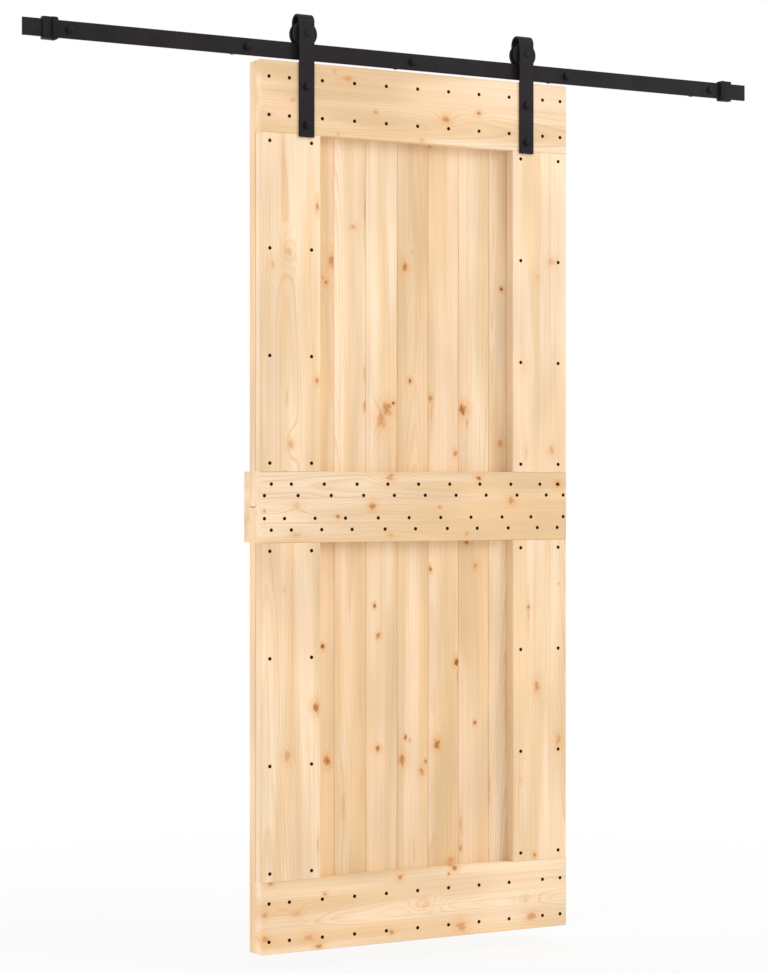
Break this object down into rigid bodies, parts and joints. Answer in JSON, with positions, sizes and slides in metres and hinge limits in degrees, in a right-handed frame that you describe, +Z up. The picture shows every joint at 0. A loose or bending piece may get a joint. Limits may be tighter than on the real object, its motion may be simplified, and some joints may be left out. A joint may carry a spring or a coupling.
{
  "type": "sliding door",
  "caption": "Solid pine plank sliding door with a recessed two-panel front, hung by looped straps and grooved wheels from a flat black wall track with end stops.",
  "frame": {"origin": "where the axis of the middle wall bolt meets the wall plane", "axes": "+X along the track to the right as seen from the front, +Y into the wall, +Z up; the front of the door faces -Y"},
  "size_m": [2, 0.1174, 2.2168],
  "materials": {
    "pine_board": "satin",
    "pine_frame": "satin",
    "black_screw": "satin",
    "black_steel": "matte",
    "black_bolt": "satin",
    "zinc_steel": "satin",
    "wheel_nylon": "satin",
    "bearing_steel": "polished",
    "black_rubber": "matte"
  },
  "bodies": {
    "track": {"track_bar": "black_steel", "track_spacers": "black_steel", "wall_bolts": "black_bolt", "stop_clamp_left": "black_steel", "stop_clamp_right": "black_steel", "stop_nose_left": "black_rubber", "stop_nose_right": "black_rubber", "stop_screws": "zinc_steel"},
    "door": {"board_upper_01": "pine_board", "board_upper_02": "pine_board", "board_upper_03": "pine_board", "board_upper_04": "pine_board", "board_upper_05": "pine_board", "board_upper_06": "pine_board", "board_upper_07": "pine_board", "board_upper_08": "pine_board", "board_upper_09": "pine_board", "board_upper_10": "pine_board", "board_upper_11": "pine_board", "board_lower_01": "pine_board", "board_lower_02": "pine_board", "board_lower_03": "pine_board", "board_lower_04": "pine_board", "board_lower_05": "pine_board", "board_lower_06": "pine_board", "board_lower_07": "pine_board", "board_lower_08": "pine_board", "board_lower_09": "pine_board", "board_lower_10": "pine_board", "board_lower_11": "pine_board", "stile_upper_left": "pine_frame", "stile_upper_right": "pine_frame", "stile_lower_left": "pine_frame", "stile_lower_right": "pine_frame", "top_rail": "pine_frame", "bottom_rail": "pine_frame", "mid_rail_front": "pine_frame", "mid_rail_back": "pine_frame", "rail_screws": "black_screw", "stile_screws": "black_screw", "mid_rail_screws": "black_screw", "hanger_left": "black_steel", "hanger_right": "black_steel", "hanger_bolts": "black_bolt", "hanger_washers": "zinc_steel", "hanger_nuts": "zinc_steel", "axle_bolts": "black_bolt", "axle_nuts": "zinc_steel", "axle_bushes": "zinc_steel", "bearing_inner_rings": "bearing_steel", "bearing_balls": "bearing_steel"},
    "wheel_left": {"wheel_left": "wheel_nylon", "bearing_outer_left": "bearing_steel"},
    "wheel_right": {"wheel_right": "wheel_nylon", "bearing_outer_right": "bearing_steel"}
  },
  "joints": [
    {"name": "door_slide", "type": "slide", "parent": "track", "child": "door", "axis": [1, 0, 0], "range_m": [-0.597, 0.577]},
    {"name": "wheel_left_spin", "type": "hinge", "parent": "door", "child": "wheel_left", "pos_m": [-0.296, -0.082, 0.0413], "axis": [0, 1, 0], "continuous": true},
    {"name": "wheel_right_spin", "type": "hinge", "parent": "door", "child": "wheel_right", "pos_m": [0.316, -0.082, 0.0413], "axis": [0, 1, 0], "continuous": true}
  ],
  "couplings": [
    {"joint": "wheel_left_spin", "follows": "door_slide", "rad_per_m": 47.619},
    {"joint": "wheel_right_spin", "follows": "door_slide", "rad_per_m": 47.619}
  ]
}
